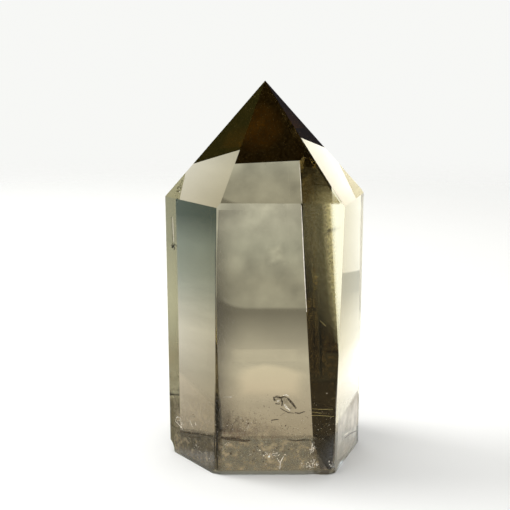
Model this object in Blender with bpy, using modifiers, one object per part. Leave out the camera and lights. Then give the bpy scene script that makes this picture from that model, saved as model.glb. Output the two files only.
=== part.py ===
"""Citrine point: one clear, smoky quartz crystal, cut and polished to stand on its foot.

Metres, +Z up, the front facet towards -Y. The origin is on the ground foot, under the
middle of the crystal's box. The crystal is made the way a stone cutter makes it: a rough
block is ground flat on one facet after another, the edges are eased, and the foot has
a few shell-shaped chips along its rim.
"""
import bmesh
import bpy
import numpy as np
from math import cos, radians, sin
from mathutils import Vector

MM = 0.001

# Driving dimensions
HEIGHT = 80.0 * MM                         # foot to tip
TIP_OFFSET = (-1.1 * MM, -0.7 * MM)        # the tip stands a little off the foot's middle
WAIST = 28.0 * MM                          # height at which the prism's distances are taken

# Six prism facets: azimuth in degrees, lean back in degrees, distance from the axis at the waist
PRISM = {
    "front": (-90.0, 0.5, 15.6 * MM),
    "right": (-21.0, -1.0, 18.55 * MM),
    "back_right": (35.0, 3.0, 16.25 * MM),
    "back": (91.5, 0.0, 16.1 * MM),
    "back_left": (149.5, -1.5, 17.95 * MM),
    "left": (217.0, 0.75, 18.25 * MM),
}

# Six facets of the point, one over each prism facet: azimuth and slope from level, in degrees
POINT = {
    "front": (-90.0, 57.75),
    "right": (-24.0, 49.75),
    "back_right": (34.0, 54.0),
    "back": (93.5, 54.5),
    "back_left": (150.0, 53.0),
    "left": (217.0, 55.5),
}

FOOT_EASE = 0.4 * MM                       # flat ground along the foot's rim
EDGE_EASE = 0.12 * MM                      # softening of every other edge
EASE_STEPS = 2
SAME_SPOT = 0.001 * MM                     # cut corners closer than this are one corner

# Chips on the foot's rim, each bitten by a ball that stands partly out of the stone: the two
# facets at the corner, how far the ball is along the front edge from there, the height of
# its middle, how far its middle stands out of the stone, and its radius
CHIPS = {
    "chip_front_rim": (("front", "right"), 4.1 * MM, 0.5 * MM, 1.25 * MM, 1.8 * MM),
    "chip_right_corner": (("front", "right"), 0.0, 0.0, 1.0 * MM, 1.8 * MM),
    "chip_front_left_corner": (("left", "front"), 0.0, 0.0, 0.55 * MM, 1.3 * MM),
    "chip_left_corner": (("back_left", "left"), 0.0, 0.0, 1.9 * MM, 3.0 * MM),
}
CHIP_DETAIL = 4                            # subdivisions of the ball that bites each chip

CRYSTAL_COLOUR = (0.40, 0.31, 0.12, 1.0)   # smoky olive brown


def clear_scene():
    for obj in list(bpy.data.objects):
        bpy.data.objects.remove(obj, do_unlink=True)


def new_collection(name):
    collection = bpy.data.collections.new(name)
    bpy.context.scene.collection.children.link(collection)
    return collection


def crystal_material():
    material = bpy.data.materials.new("smoky_citrine")
    material.use_nodes = True
    shader = material.node_tree.nodes["Principled BSDF"]
    shader.inputs["Base Color"].default_value = CRYSTAL_COLOUR
    shader.inputs["Roughness"].default_value = 0.04
    shader.inputs["Metallic"].default_value = 0.0
    shader.inputs["IOR"].default_value = 1.544
    shader.inputs["Transmission Weight"].default_value = 1.0
    return material


def facet_planes():
    """Each facet as a point on it and the direction that it faces."""
    planes = {"foot": (Vector((0.0, 0.0, 0.0)), Vector((0.0, 0.0, -1.0)))}
    tip = Vector((TIP_OFFSET[0], TIP_OFFSET[1], HEIGHT))
    for side, (azimuth, lean, distance) in PRISM.items():
        turn = radians(azimuth)
        level = Vector((cos(turn), sin(turn), 0.0))
        facing = level * cos(radians(lean)) + Vector((0.0, 0.0, sin(radians(lean))))
        planes[side] = (level * (distance / cos(radians(lean))) + Vector((0.0, 0.0, WAIST)), facing)
    for side, (azimuth, slope) in POINT.items():
        turn = radians(azimuth)
        level = Vector((cos(turn), sin(turn), 0.0))
        planes["point_" + side] = (tip, level * sin(radians(slope)) + Vector((0.0, 0.0, cos(radians(slope)))))
    return planes


def grind(mesh, point, facing):
    """Cuts away everything in front of a plane and closes the cut with one flat face."""
    everything = mesh.verts[:] + mesh.edges[:] + mesh.faces[:]
    cut = bmesh.ops.bisect_plane(
        mesh, geom=everything, dist=SAME_SPOT, plane_co=point, plane_no=facing, clear_outer=True)
    rim = [item for item in cut["geom_cut"] if isinstance(item, bmesh.types.BMEdge)]
    if rim:
        bmesh.ops.contextual_create(mesh, geom=rim)


def ease_weights(mesh):
    """Gives the foot's rim the full width of easing and every other edge a small share."""
    weight = mesh.edges.layers.float.new("bevel_weight_edge")
    for edge in mesh.edges:
        on_foot = all(vert.co.z < SAME_SPOT for vert in edge.verts)
        edge[weight] = 1.0 if on_foot else EDGE_EASE / FOOT_EASE


def ground_crystal(name, planes, collection):
    """The polished crystal before its edges are eased, and the shift that centres its box."""
    mesh = bmesh.new()
    bmesh.ops.create_cube(mesh, size=2.0 * HEIGHT)
    for point, facing in planes.values():
        grind(mesh, point, facing)
    bmesh.ops.recalc_face_normals(mesh, faces=mesh.faces)
    ease_weights(mesh)
    lows = [min(vert.co[axis] for vert in mesh.verts) for axis in (0, 1)]
    highs = [max(vert.co[axis] for vert in mesh.verts) for axis in (0, 1)]
    shift = Vector((-(lows[0] + highs[0]) / 2.0, -(lows[1] + highs[1]) / 2.0, 0.0))
    bmesh.ops.translate(mesh, vec=shift, verts=mesh.verts)
    data = bpy.data.meshes.new(name)
    mesh.to_mesh(data)
    mesh.free()
    crystal = bpy.data.objects.new(name, data)
    collection.objects.link(crystal)
    return crystal, shift


def ease_edges(crystal):
    easing = crystal.modifiers.new("eased_edges", "BEVEL")
    easing.limit_method = "WEIGHT"
    easing.offset_type = "OFFSET"
    easing.width = FOOT_EASE
    easing.segments = EASE_STEPS
    easing.use_clamp_overlap = True


def foot_corner(planes, side_a, side_b):
    """Where two prism facets meet the foot."""
    facets = [planes[side_a], planes[side_b], planes["foot"]]
    facing = np.array([tuple(plane[1]) for plane in facets])
    reach = np.array([plane[0].dot(plane[1]) for plane in facets])
    return Vector(np.linalg.solve(facing, reach))


def bite_chip(crystal, name, planes, shift, collection):
    """A shallow shell-shaped chip, left by a ball that bites into the rim from outside."""
    sides, along, height, stand_off, radius = CHIPS[name]
    corner = foot_corner(planes, *sides)
    outward = planes[sides[0]][1].copy()
    if along == 0.0:
        outward += planes[sides[1]][1]
    outward.z = 0.0
    outward.normalize()
    centre = corner + shift + Vector((-along, 0.0, height)) + outward * stand_off
    bpy.ops.mesh.primitive_ico_sphere_add(subdivisions=CHIP_DETAIL, radius=radius, location=centre)
    ball = bpy.context.object
    ball.name = name
    ball.hide_render = True
    ball.display_type = "WIRE"
    for owner in list(ball.users_collection):
        owner.objects.unlink(ball)
    collection.objects.link(ball)
    cut = crystal.modifiers.new(name, "BOOLEAN")
    cut.operation = "DIFFERENCE"
    cut.solver = "EXACT"
    cut.object = ball


def main():
    clear_scene()
    parts = new_collection("citrine_point")
    cutters = new_collection("cutters")
    planes = facet_planes()
    crystal, shift = ground_crystal("crystal", planes, parts)
    crystal.data.materials.append(crystal_material())
    ease_edges(crystal)
    for name in CHIPS:
        bite_chip(crystal, name, planes, shift, cutters)


main()
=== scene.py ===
"""Looks of the citrine point: clear, smoky stone with fine flaws, on a pale floor in soft light.

Metres, in the frame of the CAD model: +Z up, the front facet towards -Y.
"""
import random
from math import atan2, cos, pi, radians, sin

import bmesh
import bpy
from mathutils import Matrix, Vector, noise
from mathutils.bvhtree import BVHTree


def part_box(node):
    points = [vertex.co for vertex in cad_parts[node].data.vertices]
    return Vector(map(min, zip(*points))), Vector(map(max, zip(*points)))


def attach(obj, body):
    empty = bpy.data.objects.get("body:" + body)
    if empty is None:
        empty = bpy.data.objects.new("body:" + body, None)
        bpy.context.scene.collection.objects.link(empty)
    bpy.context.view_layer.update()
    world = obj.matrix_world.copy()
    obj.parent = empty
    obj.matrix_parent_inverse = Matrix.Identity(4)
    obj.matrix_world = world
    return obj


MM = 0.001
FLOOR_GAP = 0.1 * MM

# The photograph's frame and lens
FRAME_PIXELS = 510
SENSOR = 36.0
FOCAL_PIXELS = 1060.6
CAMERA_FROM_TIP = (-3.90 * MM, -220.79 * MM, 10.42 * MM)
CAMERA_HEADING = -0.5
CAMERA_PITCH = 12.05
CAMERA_ROLL = 0.19
CLIP_NEAR = 0.01
CLIP_FAR = 20.0

# The stone
QUARTZ_IOR = 1.544
SMOKE_COLOUR = (0.544, 0.478, 0.256, 1.0)
SMOKE_DENSITY = 45.0
POLISH_ROUGHNESS = 0.002
SMEAR_ROUGHNESS = 0.02
SMEAR_SCALE = 120.0
SMEAR_DETAIL = 4.0
SMEAR_RANGE = (0.5, 0.8)
FOOT_ROUGHNESS = 0.30
FOOT_RIM = 0.2 * MM

# Finishes of the flaws: colour, metallic, roughness, how much they hide at least and at most, and glow
# The glow is painted light, and on the pale finish it makes painted glints
FLAW_FINISH = {
    "silver": ((0.85, 0.82, 0.74), 1.0, 0.12, (0.05, 0.45), 0.0),
    "pale": ((0.95, 0.90, 0.80), 0.2, 0.25, (0.6, 1.0), 0.75),
    "gold": ((0.80, 0.66, 0.26), 0.3, 0.30, (0.5, 1.0), 0.45),
    "brown": ((0.20, 0.13, 0.07), 0.0, 0.60, (0.5, 1.0), 0.10),
    "soot": ((0.10, 0.075, 0.05), 0.0, 0.60, (0.75, 1.0), 0.10),
    "dark": ((0.22, 0.16, 0.10), 0.0, 0.60, (0.40, 0.80), 0.12),
    "veil": ((0.34, 0.27, 0.17), 0.0, 0.60, (0.02, 0.62), 0.30),
}

# The mottle of the finishes. The scale and the dark spots' share of the colour are for those that don't say.
# The ranges are where it goes from dark to light and from least to most cover, and the curve is how steeply
# a film's cover grows with what its rows say.
MOTTLE_SCALE = 1500.0
MOTTLE_DETAIL = 3.0
TINT_RANGE = (0.3, 0.7)
COVER_RANGE = (0.35, 0.65)
FLAW_DEEP = 0.6
FADE_CURVE = 1.6

# Cracks: the photograph's pixel they show at, mm behind the facet, width and height in mm, turn and lean
CRACKS = {
    "crack_front": ((284.5, 403.0), 5.0, 5.0, 2.2, 28.0, 35.0),
    "crack_left_low": ((178.0, 419.5), 3.0, 1.6, 2.2, 20.0, 40.0),
    "crack_right_low": ((351.0, 437.0), 3.0, 2.4, 1.4, -30.0, 40.0),
    "crack_foot_corner": ((313.5, 450.0), 2.0, 1.2, 3.0, 8.0, 30.0),
}

# The mesh of a crack, and its rim, bow, roughness and ripples as shares of its half size
CRACK_RINGS = 7
CRACK_SPOKES = 36
CRACK_SEED_SPREAD = 3.1
CRACK_RAGGED = 0.35
CRACK_RIM_WAVES = 1.7
CRACK_BOW = 0.18
CRACK_ROUGH = 0.05
CRACK_GRAIN = 4.0
RIPPLES = 14.0
RIPPLE_START = 1.2
RIPPLE_HEIGHT = 0.06

# Fine lines in the stone: the pixels they pass, mm behind the facet, thickness in mm, and finish
# The pale ones glow as painted glints and highlights
THREADS = {
    "crack_front_top": (((273.6, 397.4), (276.5, 396.8), (280.0, 397.6), (284.5, 396.6), (288.0, 398.2)),
                        5.0, 0.42, "dark"),
    "crack_front_back": (((287.5, 398.0), (290.5, 401.5), (293.5, 405.0), (296.0, 408.5)), 5.0, 0.55, "dark"),
    "crack_front_nose": (((273.8, 397.0), (274.4, 400.8)), 5.0, 0.50, "dark"),
    "crack_front_bar": (((280.8, 397.8), (282.2, 402.0), (281.8, 406.0)), 5.0, 0.38, "dark"),
    "crack_front_chin": (((275.4, 403.6), (279.6, 404.0)), 5.0, 0.36, "dark"),
    "crack_front_belly": (((280.2, 408.0), (284.0, 410.4), (288.2, 412.5), (294.0, 413.2)),
                          5.0, 0.22, "dark"),
    "crack_front_tail": (((294.8, 412.6), (299.0, 413.4), (304.5, 411.6)), 5.0, 0.32, "dark"),
    "crack_front_brow": (((283.0, 395.4), (286.5, 394.8), (289.0, 396.2)), 4.9, 0.22, "pale"),
    "crack_front_eye": (((277.0, 401.2), (279.2, 400.6)), 4.8, 0.34, "pale"),
    "crack_front_cheek": (((284.2, 404.4), (286.6, 407.6), (290.0, 410.4)), 4.8, 0.46, "pale"),
    "crack_front_fork": (((280.2, 415.8), (285.0, 412.6)), 5.0, 0.10, "dark"),
    "streak_front_low": (((271.0, 420.3), (275.0, 419.6), (278.6, 419.4)), 4.0, 0.30, "dark"),
    "streak_left_edge": (((223.6, 397.2), (232.0, 396.9)), 3.0, 0.12, "pale"),
    "strip_line_top": (((312.0, 408.8), (320.0, 409.3), (333.0, 409.3)), 1.0, 0.07, "gold"),
    "strip_line_middle": (((312.0, 412.0), (322.0, 413.4)), 2.0, 0.07, "gold"),
    "strip_line_low": (((311.0, 415.4), (322.0, 415.6), (334.0, 416.6)), 2.0, 0.07, "gold"),
    "strip_scratch": (((320.0, 320.5), (325.5, 326.0)), 2.0, 0.09, "gold"),
    "right_fracture": (((344.4, 438.6), (350.0, 433.8), (356.8, 430.6)), 0.6, 0.34, "dark"),
    "right_fracture_glint": (((344.0, 435.6), (350.5, 430.8)), 0.6, 0.20, "pale"),
    "left_line_top": (((178.0, 431.4), (188.0, 432.8), (199.5, 434.2), (213.0, 436.4)), 0.9, 0.40, "dark"),
    "left_line_low": (((184.0, 436.4), (200.0, 437.6)), 0.9, 0.16, "dark"),
    "left_streak_inner": (((189.6, 419.5), (192.4, 427.0)), 0.9, 0.12, "pale"),
    "left_streak_outer": (((195.0, 422.5), (196.2, 425.5)), 0.9, 0.16, "pale"),
    "left_arc": (((175.2, 420.8), (177.0, 416.6), (180.2, 418.0), (180.4, 422.4)), 0.9, 0.13, "pale"),
    "left_arc_low": (((175.4, 421.0), (178.8, 424.6), (182.4, 428.4)), 0.9, 0.15, "pale"),
    "left_bright_line": (((172.6, 217.0), (173.2, 230.0), (173.8, 242.0)), 1.0, 0.17, "pale"),
    "left_bright_line_shade": (((171.4, 216.0), (172.0, 230.0), (172.6, 243.0)), 1.2, 0.15, "dark"),
    # Painted reflections: these two pale lines copy an edge that the facets bend into view
    "painted_window_edge_top": (((299.4, 164.0), (300.8, 184.0), (301.4, 201.0)), 1.0, 0.10, "pale"),
    "painted_window_edge_low": (((301.2, 205.0), (302.4, 230.0), (304.0, 265.0), (306.6, 312.0)), 1.0, 0.20, "pale"),
    "foot_streak_a": (((310.6, 454.0), (311.8, 448.0), (312.4, 443.4)), 0.7, 0.12, "pale"),
    "foot_streak_b": (((313.0, 452.0), (314.6, 446.0)), 0.7, 0.09, "pale"),
    "foot_fork_a": (((279.6, 469.0), (280.6, 462.0), (283.4, 456.5)), 0.7, 0.17, "pale"),
    "foot_fork_b": (((280.0, 463.0), (277.2, 458.0)), 0.7, 0.14, "pale"),
    # Painted reflections: these two dark lines copy the foot's back rim, seen through the stone
    "painted_back_rim_left": (((221.0, 437.4), (228.0, 438.8), (236.0, 439.2), (243.0, 440.6), (250.0, 440.2)),
                      1.0, 0.74, "dark"),
    "painted_back_rim_right": (((288.0, 439.8), (297.0, 440.6), (304.0, 439.6), (311.0, 440.2)), 1.0, 0.40, "dark"),
}
THREAD_SIDES = 5
THREAD_END = 0.35

# Films in the stone: mm behind the facet, finish, and rows of left and right pixel with how much they hide
# there. The pale, brown, rust and grey ones stand for the cloudy foot, with painted light in their glow; the
# others are painted reflections and refractions: tones, shade and edges that the facets mirror or bend into
# view
FILMS = {
    # Painted tone: the gold gradient of the dark strip, bent into view
    "film_painted_tone_dark_strip": (1.5, "film_painted_gold_tone", (
        ((302.6, 204.2), (321.0, 204.2), 0.27, 0.34),
        ((303.8, 240.0), (322.5, 240.0), 0.27, 0.34),
        ((306.5, 285.0), (326.0, 285.0), 0.12, 0.28),
        ((309.0, 320.0), (330.0, 320.0), 0.0, 0.18),
        ((320.0, 343.0), (334.0, 343.0), 0.0, 0.0))),
    # Painted tone beside the wedge
    "film_painted_tone_by_wedge": (1.5, "film_painted_gold_tone", (
        ((321.0, 204.2), (330.2, 204.2), 0.34, 0.95),
        ((322.5, 240.0), (332.5, 240.0), 0.34, 0.9),
        ((326.0, 285.0), (335.2, 285.0), 0.28, 0.8),
        ((330.0, 320.0), (337.4, 320.0), 0.18, 0.6),
        ((334.0, 343.0), (338.6, 343.0), 0.0, 0.3))),
    # Painted tone at the point
    "film_painted_tone_point": (1.2, "film_painted_amber_tone", (
        ((301.5, 166.0), (317.0, 168.0), 0.2, 0.4),
        ((302.5, 186.0), (330.0, 188.0), 0.45, 0.6),
        ((303.0, 203.0), (340.0, 203.0), 0.45, 0.9))),
    # Painted tone at the point, lower down
    "film_painted_tone_point_low": (1.0, "film_painted_gold_tone", (
        ((306.0, 184.0), (328.0, 186.5), 0.0, 0.2),
        ((306.0, 203.0), (340.0, 203.0), 0.0, 0.8))),
    "film_right_low": (1.0, "film_pale", (
        ((338.8, 378.0), (357.8, 374.0), 0.0, 0.0),
        ((338.4, 398.0), (357.4, 394.0), 0.35, 0.5),
        ((338.2, 418.0), (357.2, 414.0), 0.75, 0.75),
        ((337.8, 440.0), (356.0, 434.0), 0.55, 0.55),
        ((336.8, 461.0), (350.5, 449.0), 0.3, 0.3))),
    "film_right_foot": (1.3, "film_brown", (
        ((337.9, 430.0), (356.9, 426.0), 0.0, 0.0),
        ((337.6, 444.0), (355.5, 438.0), 0.45, 0.4),
        ((336.8, 460.6), (350.5, 448.6), 0.6, 0.6))),
    # Painted shade down the left of the front facet
    "film_left_shade": (1.1, "film_shade", (
        ((216.4, 210.0), (246.0, 210.0), 0.66, 0.0),
        ((216.4, 260.0), (246.0, 260.0), 0.78, 0.0),
        ((216.8, 320.0), (250.0, 320.0), 0.84, 0.0),
        ((217.4, 370.0), (246.0, 370.0), 0.84, 0.0),
        ((218.6, 400.0), (244.0, 400.0), 0.84, 0.0),
        ((219.6, 432.0), (244.0, 432.0), 0.84, 0.2))),
    # Painted tone along the wedge's edge
    "film_painted_tone_wedge_edge": (1.5, "film_painted_gold_tone", (
        ((330.2, 204.2), (335.5, 204.2), 1.0, 0.0),
        ((332.5, 240.0), (336.5, 240.0), 0.9, 0.0),
        ((335.2, 285.0), (338.0, 285.0), 0.8, 0.0),
        ((337.4, 320.0), (339.0, 320.0), 0.6, 0.0),
        ((338.6, 343.0), (339.4, 343.0), 0.3, 0.0))),
    # Painted shade in a notch by the wedge
    "film_painted_shade_wedge_notch": (0.8, "film_shade", (
        ((330.0, 226.6), (341.5, 226.2), 0.0, 0.0),
        ((327.0, 230.6), (340.5, 228.0), 1.0, 0.3),
        ((326.0, 237.0), (333.5, 234.8), 0.0, 0.0))),
    # Painted shade at the foot of the dark strip
    "film_painted_shade_strip_foot": (0.9, "film_painted_dark_shade", (
        ((311.0, 434.0), (333.5, 434.0), 0.0, 0.6),
        ((315.0, 444.0), (333.6, 444.0), 0.55, 1.0),
        ((317.0, 455.0), (333.4, 455.0), 0.75, 1.0),
        ((319.0, 469.0), (332.5, 469.0), 0.75, 1.0))),
    # Painted shade along the left corner
    "film_painted_shade_left_corner": (0.9, "film_painted_dark_shade", (
        ((215.9, 384.0), (217.6, 384.0), 0.5, 0.0),
        ((216.0, 400.0), (220.6, 400.0), 1.0, 0.6),
        ((216.0, 430.0), (222.4, 430.0), 1.0, 0.7),
        ((216.0, 452.0), (221.8, 452.0), 1.0, 0.4),
        ((216.2, 470.0), (222.0, 470.0), 0.7, 0.0))),
    "film_front_low": (1.3, "film_brown", (
        ((218.0, 398.0), (309.0, 418.0), 0.0, 0.0),
        ((218.0, 416.0), (310.0, 430.0), 0.6, 0.15),
        ((218.0, 438.0), (311.0, 438.0), 0.8, 0.45),
        ((218.0, 442.0), (311.0, 442.0), 0.85, 0.7),
        ((218.0, 470.0), (328.0, 470.0), 0.8, 0.8))),
    "film_rust_patch": (1.2, "film_rust", (
        ((220.0, 404.0), (246.0, 406.0), 0.0, 0.0),
        ((220.0, 416.0), (262.0, 418.0), 0.8, 0.1),
        ((220.0, 427.0), (280.0, 427.0), 1.0, 0.25),
        ((220.0, 437.0), (292.0, 438.0), 1.0, 0.4),
        ((220.0, 441.0), (292.0, 442.0), 0.6, 0.1))),
    "film_left_low": (1.3, "film_grey", (
        ((173.0, 378.0), (214.0, 386.0), 0.0, 0.0),
        ((173.5, 400.0), (214.0, 406.0), 0.62, 0.52),
        ((174.0, 420.0), (214.0, 426.0), 0.78, 0.66),
        ((174.0, 436.0), (214.0, 442.0), 0.8, 0.7),
        ((175.0, 449.0), (214.0, 470.0), 0.85, 0.85))),
}
FILM_STEPS = 10
FILM_ROUGHNESS = 0.50

# Finishes of the films: colour, how much they hide at least and at most, glow, grain of the mottle, and the
# dark spots' share of the colour. The glow is painted light; the gold and amber finishes are painted tones,
# and the dark and shade finishes painted shade, of what the facets mirror or bend into view
FILM_FINISH = {
    "film_painted_gold_tone": ((0.58, 0.505, 0.24), (0.72, 1.0), 1.0, 2200.0, 0.72),
    "film_painted_amber_tone": ((0.24, 0.19, 0.075), (0.7, 1.0), 0.6, 1500.0, 0.45),
    "film_pale": ((0.92, 0.88, 0.78), (0.7, 1.0), 0.85, 330.0, 0.6),
    "film_brown": ((0.56, 0.44, 0.265), (0.15, 0.95), 0.58, 620.0, 0.3),
    "film_grey": ((0.45, 0.37, 0.24), (0.15, 0.95), 0.46, 700.0, 0.3),
    "film_rust": ((0.27, 0.19, 0.12), (0.0, 1.0), 0.4, 900.0, 0.4),
    "film_painted_dark_shade": ((0.035, 0.028, 0.018), (0.8, 1.0), 0.15, 1100.0, 0.4),
    "film_shade": ((0.14, 0.115, 0.08), (0.8, 1.0), 0.3, 300.0, 0.5),
}

# Clusters of flakes: pixel, mm behind the facet, spread in mm across, up and inwards, count, sizes, finish
# The pale flakes glow as painted glints
CLUSTERS = {
    "glints_front_foot": ((272.0, 454.5), 0.7, (1.5, 0.34, 0.06), 40, (0.13, 0.40), "pale"),
    "glint_front_lone": ((260.0, 450.5), 0.7, (0.10, 0.08, 0.05), 4, (0.20, 0.32), "pale"),
    "glints_front_rim": ((279.5, 468.0), 0.8, (0.25, 0.25, 0.08), 8, (0.08, 0.26), "pale"),
    "glints_corner_low": ((227.0, 443.5), 0.7, (0.28, 0.28, 0.06), 9, (0.12, 0.34), "pale"),
    "glints_chip_front": ((312.0, 463.5), 0.7, (0.75, 0.75, 0.08), 46, (0.12, 0.42), "pale"),
    "glints_chip_corner": ((331.0, 464.0), 0.7, (0.25, 0.40, 0.06), 12, (0.10, 0.32), "pale"),
    "glint_corner": ((217.6, 431.4), 1.0, (0.12, 0.10, 0.10), 3, (0.10, 0.20), "pale"),
    "glints_left_low": ((180.0, 423.0), 0.8, (0.80, 0.75, 0.08), 56, (0.07, 0.26), "pale"),
    "specks_front_low": ((238.0, 423.0), 0.9, (2.3, 1.4, 0.10), 260, (0.06, 0.26), "brown"),
    "specks_front_middle": ((258.0, 421.0), 1.0, (3.0, 1.6, 0.10), 120, (0.04, 0.18), "brown"),
    "glints_front_low": ((250.0, 427.5), 1.0, (1.3, 0.8, 0.10), 36, (0.03, 0.13), "pale"),
    "speck_front_high": ((266.6, 394.7), 4.0, (0.15, 0.12, 0.10), 5, (0.06, 0.14), "brown"),
    "speck_front_single": ((255.2, 410.6), 4.0, (0.08, 0.22, 0.10), 5, (0.06, 0.14), "brown"),
    "bubbles_left_point": ((179.2, 187.5), 0.8, (0.42, 1.30, 0.12), 90, (0.12, 0.30), "soot"),
    "glints_left_point": ((179.8, 190.0), 0.6, (0.45, 1.25, 0.08), 30, (0.06, 0.18), "pale"),
    "spots_left_edge": ((173.2, 246.0), 0.8, (0.50, 0.28, 0.10), 40, (0.14, 0.38), "soot"),
    "gold_in_strip": ((318.0, 275.0), 3.0, (2.2, 11.0, 1.5), 150, (0.02, 0.08), "gold"),
    "gold_by_wedge": ((327.0, 255.0), 3.0, (1.1, 9.0, 1.2), 110, (0.02, 0.07), "gold"),
    "speck_strip_low": ((327.0, 393.0), 2.0, (0.05, 0.05, 0.05), 2, (0.08, 0.14), "pale"),
    "glints_left_foot": ((196.0, 449.0), 0.7, (2.4, 1.1, 0.06), 90, (0.05, 0.20), "pale"),
    "specks_left_foot": ((196.0, 449.0), 0.7, (2.6, 1.2, 0.06), 150, (0.06, 0.32), "soot"),
    "specks_front_foot": ((256.0, 455.0), 0.7, (6.0, 1.5, 0.06), 170, (0.06, 0.34), "soot"),
    "glints_front_foot_wide": ((268.0, 457.0), 0.8, (6.0, 1.4, 0.08), 70, (0.03, 0.12), "pale"),
    "glints_chip_streak": ((312.5, 449.0), 0.7, (0.32, 1.2, 0.06), 40, (0.08, 0.26), "pale"),
    "glints_right_foot": ((346.0, 446.0), 0.8, (0.9, 1.1, 0.08), 24, (0.03, 0.14), "pale"),
    "glints_front_haze": ((246.0, 424.0), 0.8, (1.8, 0.8, 0.06), 50, (0.05, 0.16), "pale"),
    "dust_front": ((262.0, 270.0), 6.0, (5.0, 9.0, 3.0), 40, (0.02, 0.06), "brown"),
}
FIRST_CLUSTER_SEED = 100

# Flakes and specks near the foot: count, sizes in mm, finish and seed
# The pale flakes glow as painted glints
FOOT_FLAKES = {
    "foot_flakes": (1100, (0.03, 0.16), "pale", 7),
    "foot_specks": (1700, (0.03, 0.22), "brown", 11),
}

# Their height in mm: the lowest, how far up they reach from there, and how strongly they keep low
FOOT_LOWEST = 0.4
FOOT_REACH = 9.0
FOOT_LOWNESS = 1.6

# A flake: how strongly the small ones prevail, its gap to the skin, its corners and its shortest reach
FLAKE_SMALLNESS = 3
FLAKE_CLEARANCE = 0.1 * MM
FLAKE_CORNERS = (3, 4, 5)
FLAKE_LEAST = 0.6

# The veil over the foot, in mm, with its rings as shares of the foot's outline, and how far apart two
# corners of that outline are at least
VEIL_RINGS = (0.97, 0.88, 0.76, 0.62, 0.46, 0.30, 0.15)
VEIL_HEIGHT = 0.6
VEIL_SWELL = 0.25
VEIL_WAVES = 4.0
SAME_LEVEL = 0.01 * MM
CORNER_GAP = 0.25 * MM

# Soft lights: place and aim in mm, side in mm, power in watts
SOFT_LIGHTS = {
    "softbox_overhead": ((0, 0, 2000), (0, 0, 0), 2000, 50.0),
    "softbox_left": ((-420, 120, 360), (0, 0, 0), 260, 2.4),
}

# The pale card behind, in mm: its plane, its span, its top and its lower edge, which curls up on the left
CLOUD_PLANE = 80.0
CLOUD_SPAN = (-18.0, 20.0)
CLOUD_TOP = 75.0
CLOUD_STEPS = 24
CLOUD_EDGE = 13.2
CLOUD_EDGE_TURN = -3.0
CLOUD_EDGE_RISE = 0.048
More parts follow.
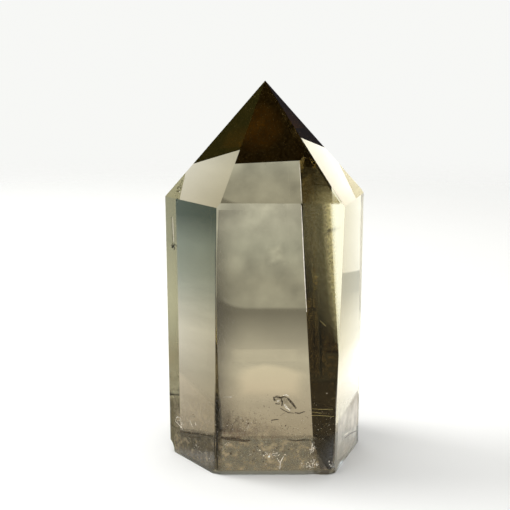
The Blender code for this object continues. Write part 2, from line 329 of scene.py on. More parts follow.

# Cards round the stone, which show only in it. Their glow is painted light and shade: the lit floor, pools of
# light and shadows of the surroundings, as the facets show them. Each has its corners in mm, its soft rim in
# mm, as one value or one for each side, the axis or the place in mm that the shade follows, and the shades by
# mm.
# Some say how cloudy they are and with what grain, the share that they hide, and how they are seen.
CARDS = {
    # Painted shadow: dark under the pale card's lower edge, lighter towards the floor
    "card_behind_low": dict(
        corners=((-18, 80.5, 0.1), (20, 80.5, 0.1), (20, 80.5, 22), (-18, 80.5, 22)), rim=0.5, along="Z",
        shades=((0, (0.86, 0.84, 0.79)), (3.3, (0.66, 0.65, 0.61)), (7.7, (0.46, 0.455, 0.42)),
                (11, (0.34, 0.335, 0.305)), (22, (0.34, 0.335, 0.305))), cloud=0.12),
    "card_floor_behind": dict(
        corners=((-8, 17, 0.2), (11, 17, 0.2), (14, 80.3, 0.2), (-13, 80.3, 0.2)), rim=3.0, along="Y",
        shades=((16, (0.66, 0.60, 0.53)), (22, (0.74, 0.67, 0.59)), (40, (0.90, 0.84, 0.77)),
                (60, (1.0, 0.97, 0.90)), (70, (0.96, 0.94, 0.88)), (80, (0.86, 0.84, 0.79))), cloud=0.14),
    "card_floor_right": dict(
        corners=((1, 17, 0.1), (48, 28, 0.1), (120, 85, 0.1), (140, 160, 0.1), (50, 170, 0.1),
                 (1, 80, 0.1)), rim=3.0, along=(0, 16, 0),
        shades=((4, (0.60, 0.54, 0.475)), (15, (0.69, 0.63, 0.56)), (28, (0.80, 0.76, 0.70)),
                (42, (0.80, 0.785, 0.75)), (60, (1.0, 0.99, 0.97)), (78, (1.03, 1.035, 1.02)),
                (126, (0.62, 0.68, 0.68)), (152, (0.47, 0.54, 0.53))), cloud=0.08),
    "card_right_behind": dict(
        corners=((46, 165, 0.3), (135, 105, 0.3), (135, 105, 60), (46, 165, 60)), rim=3.0, along="Z",
        shades=((0, (0.48, 0.55, 0.54)), (6, (0.42, 0.49, 0.48)), (11, (0.375, 0.45, 0.445)),
                (22, (0.125, 0.17, 0.165)), (60, (0.07, 0.11, 0.11))), cloud=0.12),
    # Painted pools of light on the floor and the wall to the left, brighter than the lit floor
    "card_floor_left": dict(
        corners=((-30, 17, 0.1), (-3, 20, 0.1), (-18, 40, 0.1), (-24, 50, 0.1), (-48, 72, 0.1),
                 (-85, 102.4, 0.1), (-160, 102.4, 0.1), (-95, 55, 0.1)), rim=1.5, along=(0, 16, 0),
        shades=((12, (2.0, 2.05, 2.1)), (40, (2.8, 2.9, 3.3)), (58, (2.5, 2.6, 2.8)), (72, (2.1, 2.15, 2.15)),
                (120, (1.48, 1.51, 1.46)), (145, (1.10, 1.14, 1.10))), cloud=0.06),
    "card_left_behind_low": dict(
        corners=((-150, 102.5, 0.1), (-85, 102.5, 0.1), (-85, 102.5, 14), (-150, 102.5, 14)), rim=1.0,
        along="Z", shades=((0, (1.10, 1.14, 1.10)), (14, (0.90, 0.94, 0.90)))),
    "card_left_behind": dict(
        corners=((-150, 102, 6.5), (-85, 102, 9.5), (-85, 102, 70), (-150, 102, 70)), rim=0.8, along="Z",
        shades=((6, (1.9, 1.95, 1.98)), (20, (2.05, 2.14, 2.22)), (70, (2.1, 2.2, 2.3))), cloud=0.06),
    # Painted shadow: a dark line on the floor behind, on the left
    "card_painted_shadow_line": dict(
        corners=((-13.5, 37, 0.3), (-12.5, 42, 0.3), (-28, 72, 0.3), (-56, 105, 0.3), (-68, 105, 0.3),
                 (-39, 70, 0.3), (-17, 43, 0.3)), rim=1.0, along="Y",
        shades=((0, (0.14, 0.13, 0.11)), (110, (0.14, 0.13, 0.11)))),
    # Painted shade on the wall behind, on the left
    "card_painted_shade_behind": dict(
        corners=((-74, 106, 0.1), (-52, 106, 0.1), (-52, 106, 30), (-74, 106, 30)), rim=3.0, along="Z",
        shades=((0, (0.14, 0.13, 0.11)), (30, (0.16, 0.15, 0.12)))),
    # Painted light on the far floor to the left
    "card_far_left": dict(
        corners=((-35, 17, 0.3), (-95, 48, 0.3), (-240, 70, 0.3), (-240, 36, 0.3), (-60, 12, 0.3)), rim=3.0,
        along="X", shades=((-240, (3.3, 3.8, 4.8)), (-90, (3.1, 3.5, 4.4)), (-35, (1.8, 2.0, 2.2)))),
    "card_floor_front": dict(
        corners=((-17, -17, 0.2), (8, -17, 0.2), (12, -30, 0.2), (30, -80, 0.2), (60, -170, 0.2),
                 (90, -500, 0.2), (-70, -500, 0.2), (-36, -170, 0.2), (-24, -80, 0.2)), rim=4.0, along="Y",
        seen="both", shades=((-500, (0.16, 0.16, 0.14)), (-17, (0.16, 0.16, 0.14)))),
    "card_glow_floor": dict(
        corners=((-2.5, 48, 0.4), (7.5, 48, 0.4), (9, 58, 0.4), (6.5, 62, 0.4), (2, 64, 0.4), (-1.5, 61, 0.4),
                 (-3, 55, 0.4)),
        rim=(10.0, 4.6, 4.6, 4.6, 4.6, 4.6, 4.6), along="Y", hides=0.72,
        shades=((36, (1.15, 1.02, 0.90)), (52, (1.32, 1.22, 1.10)), (70, (1.38, 1.32, 1.19)))),
    "card_arc_floor": dict(
        corners=((-5, 70, 0.35), (10, 71, 0.35), (11, 86, 0.35), (3, 89, 0.35), (-3, 86, 0.35),
                 (-6.5, 78, 0.35)),
        rim=2.0, along="Y", hides=0.35,
        shades=((60, (1.15, 1.12, 1.03)), (90, (1.15, 1.12, 1.03)))),
    "card_wisp_high": dict(
        corners=((-0.5, 79.5, 39), (3.0, 79.5, 40), (2.0, 79.5, 46), (0, 79.5, 46)), rim=4.5, along="Z",
        hides=0.5, shades=((30, (0.95, 1.0, 0.98)), (50, (1.0, 1.05, 1.03))), cloud=0.3, grain=300.0),
    "card_wisp_middle": dict(
        corners=((4.9, 79.5, 27.6), (5.8, 79.5, 27.8), (5.4, 79.5, 29.0), (4.9, 79.5, 28.8)), rim=2.4,
        along="Z", hides=0.55, shades=((20, (1.05, 1.09, 1.03)), (50, (1.05, 1.09, 1.03))),
        cloud=0.25, grain=500.0),
    "card_front_right": dict(
        corners=((74, -188, 45), (118, -164, 45), (118, -164, 110), (74, -188, 110)), rim=10.0, along="Z",
        shades=((0, (2.5, 2.7, 2.8)), (120, (2.5, 2.7, 2.8)))),
    "card_floor_front_right": dict(
        corners=((18, -12, 0.2), (33, -12, 0.2), (100, -100, 0.2), (220, -300, 0.2), (220, -400, 0.2),
                 (150, -400, 0.2), (95, -220, 0.2), (46, -100, 0.2)), rim=4.0, along="Y",
        shades=((-400, (0.98, 1.13, 1.30)), (-200, (1.12, 1.30, 1.50)), (-100, (1.57, 1.8, 2.0)),
                (-46, (1.3, 1.45, 1.6)))),
    # Painted light and shadow: the floor under the stone, lit only through it, amber near the middle and dark
    # further out
    "card_under_foot": dict(
        corners=((-22, -16, -0.05), (22, -16, -0.05), (22, 16, -0.05), (-22, 16, -0.05)), rim=1.0,
        along=(3, 4, 0),
        shades=((0, (0.26, 0.13, 0.014)), (4, (0.16, 0.078, 0.008)), (7, (0.045, 0.028, 0.002)),
                (30, (0.02, 0.012, 0.002))), cloud=0.5, grain=260.0),
    "card_mirrored_left": dict(
        corners=((-420, -90, 0.6), (-22, -26, 0.6), (-22, 34, 0.6), (-420, 230, 0.6)), rim=4.0, along="X",
        seen="mirrored",
        shades=((-260, (0.16, 0.19, 0.19)), (-80, (0.21, 0.22, 0.21)), (-35, (0.24, 0.235, 0.21)),
                (-20, (0.14, 0.13, 0.10)))),
    "card_mirrored_right": dict(
        corners=((32, 0, 0.6), (60, -20, 0.6), (420, 120, 0.6), (420, 440, 0.6), (60, 110, 0.6)), rim=8.0,
        along="X", seen="mirrored", shades=((30, (0.6, 0.6, 0.57)), (400, (0.5, 0.5, 0.47)))),
    # Painted pool of light on the floor at the front left
    "card_floor_front_left": dict(
        corners=((-31, -39, 0.3), (-23, -37, 0.3), (-22, -24, 0.3), (-30, -24, 0.3)), rim=5.0, along="Y",
        shades=((-60, (4.2, 4.6, 5.8)), (0, (4.2, 4.6, 5.8)))),
    "card_mirrored_high_left": dict(
        corners=((-250, -13, 70), (-146, 203, 70), (-146, 203, 300), (-250, -13, 300)), rim=20.0, along="Z",
        seen="mirrored", shades=((0, (0.13, 0.135, 0.03)), (400, (0.13, 0.135, 0.03)))),
    "card_mirrored_high": dict(
        corners=((90, 310, 60), (340, 110, 60), (340, 110, 340), (90, 310, 340)), rim=20.0, along="Z",
        seen="mirrored", shades=((0, (0.05, 0.055, 0.075)), (400, (0.05, 0.055, 0.075)))),
}
CLOUD_CARD = dict(
    rim=1.2, along="Z", cloud=0.26, grain=120.0,
    shades=((10, (0.59, 0.595, 0.55)), (20, (0.63, 0.64, 0.59)), (30.5, (0.74, 0.78, 0.75)),
            (41, (0.85, 0.88, 0.87)), (75, (0.95, 0.97, 0.95))))
CARD_GRAIN = 60.0
CLOUD_CONTRAST = 4.0
NOISE_MIDDLE = 0.5
ALMOST_STRAIGHT = 0.999

# The room that the stone mirrors: height as the sine of its angle, and brightness
ROOM_BAND = ((0.0, 1.0), (1.0, 0.03), (0.42, 1.0), (0.58, 0.05))
ROOM_SIDES = 0.14
ROOM_BEHIND = 0.55
ROOM_BEHIND_FROM = (0.55, 1.0)
ROOM_COLOUR = (1.0, 1.0, 0.96, 1.0)
BACKDROP_COLOUR = (0.93, 0.935, 0.915, 1.0)

FLOOR_RADIUS = 0.60
FLOOR_SIDES = 96
FLOOR_ROUGHNESS = 0.7
FLOOR_SHINE = 0.2
FLOOR_FADE = (0.22, 0.55)
FLOOR_COLOUR = (0.80, 0.80, 0.78, 1.0)

STONE_BOUNCES = 32
MATT_BOUNCES = 4


def new_object(name, data):
    made = bpy.data.objects.new(name, data)
    bpy.context.scene.collection.objects.link(made)
    return made


def mesh_object(name, mesh):
    """Turns a finished edit mesh into an object of the scene."""
    data = bpy.data.meshes.new(name)
    mesh.to_mesh(data)
    mesh.free()
    return new_object(name, data)


def place_camera(tip):
    """The photograph's view: where its lens stood, seen from the crystal's tip."""
    lens = bpy.data.cameras.new("photo_camera")
    lens.sensor_width = SENSOR
    lens.lens = FOCAL_PIXELS / FRAME_PIXELS * SENSOR
    lens.clip_start = CLIP_NEAR
    lens.clip_end = CLIP_FAR
    camera = new_object("photo_camera", lens)
    turn = Matrix.Rotation(radians(CAMERA_HEADING), 4, "Z")
    lean = Matrix.Rotation(radians(90.0 - CAMERA_PITCH), 4, "X")
    roll = Matrix.Rotation(radians(CAMERA_ROLL), 4, "Z")
    camera.matrix_world = Matrix.Translation(tip + Vector(CAMERA_FROM_TIP)) @ turn @ lean @ roll
    bpy.context.scene.camera = camera
    return camera


def new_material(name):
    """A material with nodes. Gives it and its node tree."""
    material = bpy.data.materials.new(name)
    material.use_nodes = True
    return material, material.node_tree


def object_place(tree):
    """The socket with each point's place on its object."""
    return tree.nodes.new("ShaderNodeTexCoord").outputs["Object"]


def link_math(tree, operation, *values):
    """A maths node on numbers and sockets. Gives its output."""
    node = tree.nodes.new("ShaderNodeMath")
    node.operation = operation
    for socket, value in zip(node.inputs, values):
        if isinstance(value, (int, float)):
            socket.default_value = value
        else:
            tree.links.new(value, socket)
    return node.outputs[0]


def map_range(tree, value, source, target=(0.0, 1.0), soft=False):
    """Takes a value from one range to another, with eased ends where soft. Gives its output."""
    node = tree.nodes.new("ShaderNodeMapRange")
    if soft:
        node.interpolation_type = "SMOOTHSTEP"
    for socket, level in zip(("From Min", "From Max", "To Min", "To Max"), source + target):
        node.inputs[socket].default_value = level
    tree.links.new(value, node.inputs["Value"])
    return node.outputs["Result"]


def noise_value(tree, place, scale, detail):
    node = tree.nodes.new("ShaderNodeTexNoise")
    node.inputs["Scale"].default_value = scale
    node.inputs["Detail"].default_value = detail
    tree.links.new(place, node.inputs["Vector"])
    return node.outputs["Fac"]


def cover_value(tree):
    """How much a film or a card hides at each of its corners, as its mesh says."""
    node = tree.nodes.new("ShaderNodeAttribute")
    node.attribute_name = "cover"
    return node.outputs["Fac"]


def mix_shaders(tree, share, first, second, output):
    """Blends two shaders into the output of a material or of the world."""
    either = tree.nodes.new("ShaderNodeMixShader")
    tree.links.new(share, either.inputs["Fac"])
    tree.links.new(first, either.inputs[1])
    tree.links.new(second, either.inputs[2])
    tree.links.new(either.outputs[0], tree.nodes[output].inputs["Surface"])


def citrine_material():
    """Clear stone that takes light by its depth: polished facets with faint smears, a ground foot."""
    material, tree = new_material("citrine")
    shader = tree.nodes["Principled BSDF"]
    shader.inputs["Base Color"].default_value = (1.0, 1.0, 1.0, 1.0)
    shader.inputs["Metallic"].default_value = 0.0
    shader.inputs["IOR"].default_value = QUARTZ_IOR
    shader.inputs["Transmission Weight"].default_value = 1.0
    place = object_place(tree)
    split = tree.nodes.new("ShaderNodeSeparateXYZ")
    tree.links.new(place, split.inputs["Vector"])
    smear = noise_value(tree, place, SMEAR_SCALE, SMEAR_DETAIL)
    smeared = map_range(tree, smear, SMEAR_RANGE, (POLISH_ROUGHNESS, SMEAR_ROUGHNESS))
    on_foot = link_math(tree, "LESS_THAN", split.outputs["Z"], FOOT_RIM)
    ground = link_math(tree, "MULTIPLY", on_foot, FOOT_ROUGHNESS)
    tree.links.new(link_math(tree, "ADD", ground, smeared), shader.inputs["Roughness"])
    smoke = tree.nodes.new("ShaderNodeVolumeAbsorption")
    smoke.inputs["Color"].default_value = SMOKE_COLOUR
    smoke.inputs["Density"].default_value = SMOKE_DENSITY
    tree.links.new(smoke.outputs["Volume"], tree.nodes["Material Output"].inputs["Volume"])
    return material


def flaw_material(name, colour, metallic, roughness, cover, glow, grain=MOTTLE_SCALE, deep=FLAW_DEEP,
                  faded=False):
    """A finish that hides a share of what is behind it, more in some spots.

    The glow is painted light, which stands for the light that the facets gather on it.
    """
    material, tree = new_material(name)
    shader = tree.nodes["Principled BSDF"]
    shader.inputs["Metallic"].default_value = metallic
    shader.inputs["Roughness"].default_value = roughness
    mottle = noise_value(tree, object_place(tree), grain, MOTTLE_DETAIL)
    tint = tree.nodes.new("ShaderNodeValToRGB")
    for spot, level, share in zip(tint.color_ramp.elements, TINT_RANGE, (deep, 1.0)):
        spot.position = level
        spot.color = (*(shade * share for shade in colour), 1.0)
    tree.links.new(mottle, tint.inputs["Fac"])
    tree.links.new(tint.outputs["Color"], shader.inputs["Base Color"])
    if glow:
        tree.links.new(tint.outputs["Color"], shader.inputs["Emission Color"])
        shader.inputs["Emission Strength"].default_value = glow
    hides = map_range(tree, mottle, COVER_RANGE, cover)
    if faded:
        hides = link_math(tree, "MULTIPLY", hides, link_math(tree, "POWER", cover_value(tree), FADE_CURVE))
    tree.links.new(hides, shader.inputs["Alpha"])
    return material


def line_of_sight(camera, skin, pixel):
    """Where the sight line through a pixel of the photograph enters the stone, and how it runs inside."""
    turn = camera.matrix_world.to_3x3()
    half = FRAME_PIXELS / 2.0
    ahead = (turn @ Vector((pixel[0] - half, half - pixel[1], -FOCAL_PIXELS))).normalized()
    entry, facing, _, _ = skin.ray_cast(camera.matrix_world.translation, ahead)
    bend = 1.0 / QUARTZ_IOR
    lean = -ahead.dot(facing)
    inward = bend * ahead + (bend * lean - (1.0 - bend * bend * (1.0 - lean * lean)) ** 0.5) * facing
    return entry, inward.normalized()


def square_to(inward):
    """The level and the rising direction square to a line in the stone."""
    across = inward.cross(Vector((0.0, 0.0, 1.0))).normalized()
    return across, across.cross(inward).normalized()


def finish_flaw(name, mesh, material):
    """Makes the piece with its own finish, and lets it ride with the stone."""
    bmesh.ops.recalc_face_normals(mesh, faces=mesh.faces)
    flaw = mesh_object(name, mesh)
    flaw.data.shade_smooth()
    flaw.data.materials.append(material)
    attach(flaw, "root")
    return flaw


def sheet_mesh(name, shape, material):
    """A round sheet from its middle outwards. shape gives a point for a share of the reach and a turn."""
    mesh = bmesh.new()
    middle = mesh.verts.new(shape(0.0, 0.0))
    before = None
    for ring in range(1, CRACK_RINGS + 1):
        turns = [2.0 * pi * spoke / CRACK_SPOKES for spoke in range(CRACK_SPOKES)]
        now = [mesh.verts.new(shape(ring / CRACK_RINGS, turn)) for turn in turns]
        for spoke in range(CRACK_SPOKES):
            after = (spoke + 1) % CRACK_SPOKES
            if before is None:
                mesh.faces.new((middle, now[spoke], now[after]))
            else:
                mesh.faces.new((before[spoke], now[spoke], now[after], before[after]))
        before = now
    finish_flaw(name, mesh, material)


def make_crack(name, sight, depth, width, height, turn, lean, material):
    """A shell-shaped crack: a bowed sheet with a ragged rim and ripples that spread from one side."""
    entry, inward = sight
    middle = entry + inward * depth * MM
    across, rise = square_to(inward)
    frame_turn = Matrix.Rotation(radians(turn), 3, inward)
    side = frame_turn @ across
    up = frame_turn @ rise
    up = (up * cos(radians(lean)) + inward * sin(radians(lean))).normalized()
    facing = side.cross(up).normalized()
    seed = Vector((width, height, depth)) * CRACK_SEED_SPREAD

    def shape(reach, angle):
        round_rim = Vector((cos(angle), sin(angle), 0.0))
        rim = 1.0 + CRACK_RAGGED * noise.noise(seed + CRACK_RIM_WAVES * round_rim)
        u = reach * rim * cos(angle)
        v = reach * rim * sin(angle)
        ripple = sin(RIPPLES * ((u + RIPPLE_START) ** 2 + v * v) ** 0.5)
        bow = CRACK_BOW * (u * u + v * v) + RIPPLE_HEIGHT * ripple
        rough = CRACK_ROUGH * noise.noise(seed + Vector((CRACK_GRAIN * u, CRACK_GRAIN * v, 0.0)))
        small = min(width, height)
        place = side * (u * width / 2.0) + up * (v * height / 2.0) + facing * ((bow + rough) * small / 2.0)
        return middle + place * MM

    sheet_mesh(name, shape, material)


def make_film(name, rows, depth, camera, skin, material):
    """A film between pairs of pixels of the photograph, which hides more or less from row to row."""
    mesh = bmesh.new()
    grid = []
    covers = []
    for left, right, cover_left, cover_right in rows:
        line = []
        for step in range(FILM_STEPS + 1):
            share = step / FILM_STEPS
            pixel = [a + (b - a) * share for a, b in zip(left, right)]
            entry, inward = line_of_sight(camera, skin, pixel)
            line.append(mesh.verts.new(entry + inward * depth * MM))
            covers.append(cover_left + (cover_right - cover_left) * share)
        grid.append(line)
    for line, after in zip(grid, grid[1:]):
        for step in range(FILM_STEPS):
            mesh.faces.new((line[step], line[step + 1], after[step + 1], after[step]))
    film = finish_flaw(name, mesh, material)
    cover = film.data.attributes.new("cover", "FLOAT", "POINT")
    for index, value in enumerate(covers):
        cover.data[index].value = value


def make_thread(name, points, thickness, material):
    """A fine line through the points, thin at its ends."""
    mesh = bmesh.new()
    rings = []
    turns = [2.0 * pi * corner / THREAD_SIDES for corner in range(THREAD_SIDES)]
    for index, point in enumerate(points):
        ahead = points[min(index + 1, len(points) - 1)]
        behind = points[max(index - 1, 0)]
        run = (ahead - behind).normalized()
        side = run.orthogonal().normalized()
        up = run.cross(side)
        full = sin(pi * (index + 0.5) / len(points))
        reach = thickness / 2.0 * (THREAD_END + (1.0 - THREAD_END) * full) * MM
        rings.append([mesh.verts.new(point + reach * (side * cos(turn) + up * sin(turn))) for turn in turns])
    for ring, after in zip(rings, rings[1:]):
        for corner in range(THREAD_SIDES):
            other = (corner + 1) % THREAD_SIDES
            mesh.faces.new((ring[corner], ring[other], after[other], after[corner]))
    mesh.faces.new(rings[0])
    mesh.faces.new(rings[-1])
    finish_flaw(name, mesh, material)


def inside_stone(skin, place, clearance):
    """True if a point is in the stone and at least that far from its skin."""
    near, facing, _, distance = skin.find_nearest(place)
    return (place - near).dot(facing) < 0.0 and distance > clearance


def make_flakes(name, skin, pick, count, sizes, material, seed):
    """Many tiny flat flakes at places that pick draws, each turned its own way, most of them small."""
    draw = random.Random(seed)
    mesh = bmesh.new()
    made = 0
    while made < count:
        place = pick(draw)
        size = (sizes[0] + (sizes[1] - sizes[0]) * draw.random() ** FLAKE_SMALLNESS) * MM
        if not inside_stone(skin, place, size + FLAKE_CLEARANCE):
            continue
        axis = Vector((draw.gauss(0, 1), draw.gauss(0, 1), draw.gauss(0, 1))).normalized()
        side = axis.orthogonal().normalized()
        up = axis.cross(side)
        corners = draw.choice(FLAKE_CORNERS)
        first = draw.random() * pi
        ring = []
        for corner in range(corners):
            angle = first + 2.0 * pi * corner / corners
            reach = size * (FLAKE_LEAST + (1.0 - FLAKE_LEAST) * draw.random())
            ring.append(mesh.verts.new(place + reach * (side * cos(angle) + up * sin(angle))))
        mesh.faces.new(ring)
        made += 1
    finish_flaw(name, mesh, material)


def pick_near_foot(low, high):
    """Draws places over the foot, most of them low."""
    def near_foot(draw):
        x = low.x + (high.x - low.x) * draw.random()
        y = low.y + (high.y - low.y) * draw.random()
        return Vector((x, y, (FOOT_LOWEST + FOOT_REACH * draw.random() ** FOOT_LOWNESS) * MM))

    return near_foot


def pick_in_cluster(sight, depth, spread):
    """Draws places round a point on a sight line."""
    entry, inward = sight
    middle = entry + inward * depth * MM
    across, rise = square_to(inward)

    def in_cluster(draw):
        return middle + MM * (across * draw.gauss(0, spread[0]) + rise * draw.gauss(0, spread[1])
                              + inward * draw.gauss(0, spread[2]))

    return in_cluster


def foot_outline(crystal):
    """The corners of the ground foot, in order round it, without those close to the last or the first."""
    lowest = min(vert.co.z for vert in crystal.data.vertices)
    rim = [vert.co.copy() for vert in crystal.data.vertices if vert.co.z < lowest + SAME_LEVEL]
    outline = []
    for place in sorted(rim, key=lambda place: atan2(place.y, place.x)):
        if all((place - other).length > CORNER_GAP for other in outline[-1:] + outline[:1]):
            outline.append(place)
    return outline


def make_veil(name, rim, material):
    """A film across the stone, a little above its foot and not quite level."""
    mesh = bmesh.new()
    rings = []
    for share in VEIL_RINGS:
        ring = []
        for corner in rim:
            place = corner * share
            wave = VEIL_SWELL * noise.noise(place / (VEIL_WAVES * MM) + Vector((VEIL_HEIGHT, 0.0, 0.0)))
            ring.append(mesh.verts.new(Vector((place.x, place.y, (VEIL_HEIGHT + wave) * MM))))
        rings.append(ring)
    for outer, inner in zip(rings, rings[1:]):
        for corner in range(len(rim)):
            other = (corner + 1) % len(rim)
            mesh.faces.new((outer[corner], outer[other], inner[other], inner[corner]))
    middle = mesh.verts.new((0.0, 0.0, VEIL_HEIGHT * MM))
    for corner in range(len(rim)):
        mesh.faces.new((rings[-1][corner], rings[-1][(corner + 1) % len(rim)], middle))
    finish_flaw(name, mesh, material)


def make_foot_flaws(skin, crystal, low, high, finish):
    for name, (count, sizes, kind, seed) in FOOT_FLAKES.items():
        make_flakes(name, skin, pick_near_foot(low, high), count, sizes, finish[kind], seed)
    make_veil("foot_veil", foot_outline(crystal), finish["veil"])


def make_cracks(camera, skin, finish):
    for name, (pixel, *shape) in CRACKS.items():
        make_crack(name, line_of_sight(camera, skin, pixel), *shape, finish["silver"])


def make_films(camera, skin):
    finish = {}
    for name, (colour, cover, glow, grain, deep) in FILM_FINISH.items():
        finish[name] = flaw_material(name, colour, 0.0, FILM_ROUGHNESS, cover, glow, grain, deep, faded=True)
    for name, (depth, kind, rows) in FILMS.items():
        make_film(name, rows, depth, camera, skin, finish[kind])


def make_threads(camera, skin, finish):
    for name, (pixels, depth, thickness, kind) in THREADS.items():
        sights = [line_of_sight(camera, skin, pixel) for pixel in pixels]
        points = [entry + inward * depth * MM for entry, inward in sights]
        make_thread(name, points, thickness, finish[kind])


def make_clusters(camera, skin, finish):
    """Each cluster's seed follows from its place in the table, so the table's order stays."""
    for seed, (name, row) in enumerate(CLUSTERS.items(), FIRST_CLUSTER_SEED):
        pixel, depth, spread, count, sizes, kind = row
        pick = pick_in_cluster(line_of_sight(camera, skin, pixel), depth, spread)
        make_flakes(name, skin, pick, count, sizes, finish[kind], seed)


def make_flaws(camera, skin, crystal, low, high):
    finish = {name: flaw_material("flaw_" + name, *values) for name, values in FLAW_FINISH.items()}
    make_foot_flaws(skin, crystal, low, high, finish)
    make_cracks(camera, skin, finish)
    make_films(camera, skin)
    make_threads(camera, skin, finish)
    make_clusters(camera, skin, finish)


def floor_material():
    """Matt and pale, and it melts into the backdrop before it ends."""
    material, tree = new_material("pale_floor")
    shader = tree.nodes["Principled BSDF"]
    shader.inputs["Base Color"].default_value = FLOOR_COLOUR
    shader.inputs["Roughness"].default_value = FLOOR_ROUGHNESS
    shader.inputs["Specular IOR Level"].default_value = FLOOR_SHINE
    reach = tree.nodes.new("ShaderNodeVectorMath")
    reach.operation = "LENGTH"
    tree.links.new(object_place(tree), reach.inputs[0])
    fade = map_range(tree, reach.outputs["Value"], FLOOR_FADE, soft=True)
    clear = tree.nodes.new("ShaderNodeBsdfTransparent")
    mix_shaders(tree, fade, shader.outputs["BSDF"], clear.outputs["BSDF"], "Material Output")
    return material


def make_floor():
    mesh = bmesh.new()
    bmesh.ops.create_circle(mesh, cap_ends=True, segments=FLOOR_SIDES, radius=FLOOR_RADIUS)
    floor = mesh_object("floor", mesh)
    floor.location.z = -FLOOR_GAP
    floor.data.materials.append(floor_material())


def soft_light(name, place, aim, size, power):
    """A square soft light, in millimetres and watts, that isn't seen itself."""
    data = bpy.data.lights.new(name, "AREA")
    data.shape = "SQUARE"
    data.size = size * MM
    data.energy = power
    light = new_object(name, data)
    light.location = Vector(place) * MM
    facing = Vector(aim) - Vector(place)
    light.rotation_euler = facing.to_track_quat("-Z", "Y").to_euler()
    light.visible_camera = False
    light.visible_glossy = False
    light.visible_transmission = False


def make_lights():
    for name, settings in SOFT_LIGHTS.items():
        soft_light(name, *settings)


def shade_distance(tree, along):
    """Millimetres along an axis, or from a place."""
    place = object_place(tree)
    if isinstance(along, str):
        split = tree.nodes.new("ShaderNodeSeparateXYZ")
        tree.links.new(place, split.inputs["Vector"])
        metres = split.outputs[along]
    else:
        gap = tree.nodes.new("ShaderNodeVectorMath")
        gap.operation = "DISTANCE"
        tree.links.new(place, gap.inputs[0])
        gap.inputs[1].default_value = Vector(along) * MM
        metres = gap.outputs["Value"]
    return link_math(tree, "DIVIDE", metres, MM)


def card_material(name, along, shades, cloud, grain, hides):
    """A glow that changes with distance, a little cloudy, and melts away over the card's rim."""
    material, tree = new_material(name)
    tree.nodes.remove(tree.nodes["Principled BSDF"])
    first, last = shades[0][0], shades[-1][0]
    brightest = max(max(colour) for _, colour in shades)
    shade = tree.nodes.new("ShaderNodeValToRGB")
    spots = shade.color_ramp.elements
    spots.remove(spots[1])
    for index, (level, colour) in enumerate(shades):
        spot = spots[0] if index == 0 else spots.new((level - first) / (last - first))
        spot.color = (*(value / brightest for value in colour), 1.0)
    tree.links.new(map_range(tree, shade_distance(tree, along), (first, last)), shade.inputs["Fac"])
    clouds = noise_value(tree, object_place(tree), grain, MOTTLE_DETAIL)
    uneven = link_math(tree, "SUBTRACT", clouds, NOISE_MIDDLE)
    strength = link_math(tree, "MULTIPLY_ADD", uneven, CLOUD_CONTRAST * cloud * brightest, brightest)
    glow = tree.nodes.new("ShaderNodeEmission")
    tree.links.new(shade.outputs["Color"], glow.inputs["Color"])
    tree.links.new(strength, glow.inputs["Strength"])
    soft = map_range(tree, cover_value(tree), (0.0, 1.0), soft=True)
    clear = tree.nodes.new("ShaderNodeBsdfTransparent")
    share = link_math(tree, "MULTIPLY", soft, hides)
    mix_shaders(tree, share, clear.outputs[0], glow.outputs[0], "Material Output")
    return material


def widened(places, rim):
    """A polygon's corners moved out so that each side moves by its rim."""
    rims = rim if isinstance(rim, tuple) else (rim,) * len(places)
    facing = sum((a.cross(b) for a, b in zip(places, places[1:] + places[:1])), Vector()).normalized()
    outer = []
    for index, place in enumerate(places):
        after = places[(index + 1) % len(places)]
        out_before = (place - places[index - 1]).normalized().cross(facing)
        out_after = (after - place).normalized().cross(facing)
        shared = out_before.dot(out_after)
        if shared > ALMOST_STRAIGHT:
            outer.append(place + out_after * rims[index])
            continue
        before, now = rims[index - 1], rims[index]
        move = out_before * (before - now * shared) + out_after * (now - before * shared)
        outer.append(place + move / (1.0 - shared * shared))
    return outer


def make_card(name, corners, rim, along, shades, cloud=0.0, grain=CARD_GRAIN, hides=1.0, seen="through"):
    """A flat card with a soft rim that shows only through the stone, or mirrored in its polish, or both."""
    places = [Vector(corner) for corner in corners]
    mesh = bmesh.new()
    inner = [mesh.verts.new(place * MM) for place in places]
    outer = [mesh.verts.new(place * MM) for place in widened(places, rim)]
    mesh.faces.new(inner)
    for corner in range(len(places)):
        other = (corner + 1) % len(places)
        mesh.faces.new((inner[corner], inner[other], outer[other], outer[corner]))
    bmesh.ops.triangulate(mesh, faces=mesh.faces)
    card = mesh_object(name, mesh)
    cover = card.data.attributes.new("cover", "FLOAT", "POINT")
    for index in range(len(places)):
        cover.data[index].value = 1.0
    card.data.materials.append(card_material(name, along, shades, cloud, grain, hides))
    card.visible_camera = False
    card.visible_diffuse = False
    card.visible_glossy = seen != "through"
    card.visible_transmission = seen != "mirrored"
    card.visible_shadow = False


def cloud_corners():
    """The pale card behind, whose lower edge curls up on the left."""
    low, high = CLOUD_SPAN
    edge = []
    for step in range(CLOUD_STEPS + 1):
        x = low + (high - low) * step / CLOUD_STEPS
        edge.append((x, CLOUD_PLANE, CLOUD_EDGE + CLOUD_EDGE_RISE * min(0.0, x - CLOUD_EDGE_TURN) ** 2))
    return edge + [(high, CLOUD_PLANE, CLOUD_TOP), (low, CLOUD_PLANE, CLOUD_TOP)]


def make_cards():
    for name, settings in CARDS.items():
        make_card(name, **settings)
    make_card("card_cloud", cloud_corners(), **CLOUD_CARD)


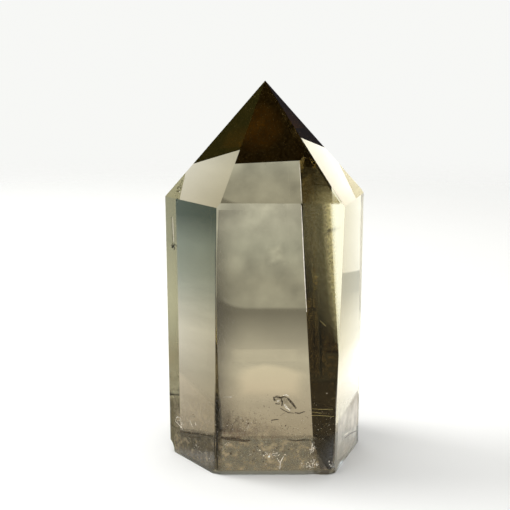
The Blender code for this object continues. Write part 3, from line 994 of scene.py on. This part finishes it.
def make_world():
    """A pale backdrop for the lens, and for the stone a dim room with a soft band of light round it."""
    world = bpy.data.worlds.new("studio")
    bpy.context.scene.world = world
    world.use_nodes = True
    tree = world.node_tree
    room = tree.nodes["Background"]
    room.inputs["Color"].default_value = ROOM_COLOUR
    split = tree.nodes.new("ShaderNodeSeparateXYZ")
    tree.links.new(tree.nodes.new("ShaderNodeTexCoord").outputs["Generated"], split.inputs["Vector"])
    height = tree.nodes.new("ShaderNodeValToRGB")
    height.color_ramp.interpolation = "EASE"
    for spot, (level, shade) in zip(height.color_ramp.elements, ROOM_BAND[:2]):
        spot.position = level
        spot.color = (shade, shade, shade, 1.0)
    for level, shade in ROOM_BAND[2:]:
        spot = height.color_ramp.elements.new(level)
        spot.color = (shade, shade, shade, 1.0)
    tree.links.new(split.outputs["Z"], height.inputs["Fac"])
    behind = map_range(tree, split.outputs["Y"], ROOM_BEHIND_FROM, (ROOM_SIDES, ROOM_BEHIND))
    tree.links.new(link_math(tree, "MULTIPLY", height.outputs["Color"], behind), room.inputs["Strength"])
    backdrop = tree.nodes.new("ShaderNodeBackground")
    backdrop.inputs["Color"].default_value = BACKDROP_COLOUR
    to_lens = tree.nodes.new("ShaderNodeLightPath").outputs["Is Camera Ray"]
    mix_shaders(tree, to_lens, room.outputs[0], backdrop.outputs[0], "World Output")


def render_settings():
    scene = bpy.context.scene
    scene.view_settings.view_transform = "Standard"
    scene.cycles.max_bounces = STONE_BOUNCES
    scene.cycles.transmission_bounces = STONE_BOUNCES
    scene.cycles.glossy_bounces = STONE_BOUNCES
    scene.cycles.diffuse_bounces = MATT_BOUNCES
    scene.cycles.caustics_reflective = True
    scene.cycles.caustics_refractive = True
    scene.cycles.use_denoising = True


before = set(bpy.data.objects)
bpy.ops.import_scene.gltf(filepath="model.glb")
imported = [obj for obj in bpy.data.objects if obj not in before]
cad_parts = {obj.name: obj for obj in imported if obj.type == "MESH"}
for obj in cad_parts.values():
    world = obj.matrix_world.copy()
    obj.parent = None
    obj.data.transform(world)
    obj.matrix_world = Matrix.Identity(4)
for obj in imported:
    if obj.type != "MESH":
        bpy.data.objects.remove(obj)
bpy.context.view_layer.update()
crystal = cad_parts["crystal"]
tip_point = max((vert.co for vert in crystal.data.vertices), key=lambda place: place.z).copy()
view_camera = place_camera(tip_point)
crystal.data.materials.clear()
crystal.data.materials.append(citrine_material())
stone_skin = BVHTree.FromPolygons(
    [vert.co for vert in crystal.data.vertices], [face.vertices for face in crystal.data.polygons])
bpy.context.view_layer.update()
make_flaws(view_camera, stone_skin, crystal, *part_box("crystal"))
make_floor()
make_lights()
make_cards()
make_world()
render_settings()
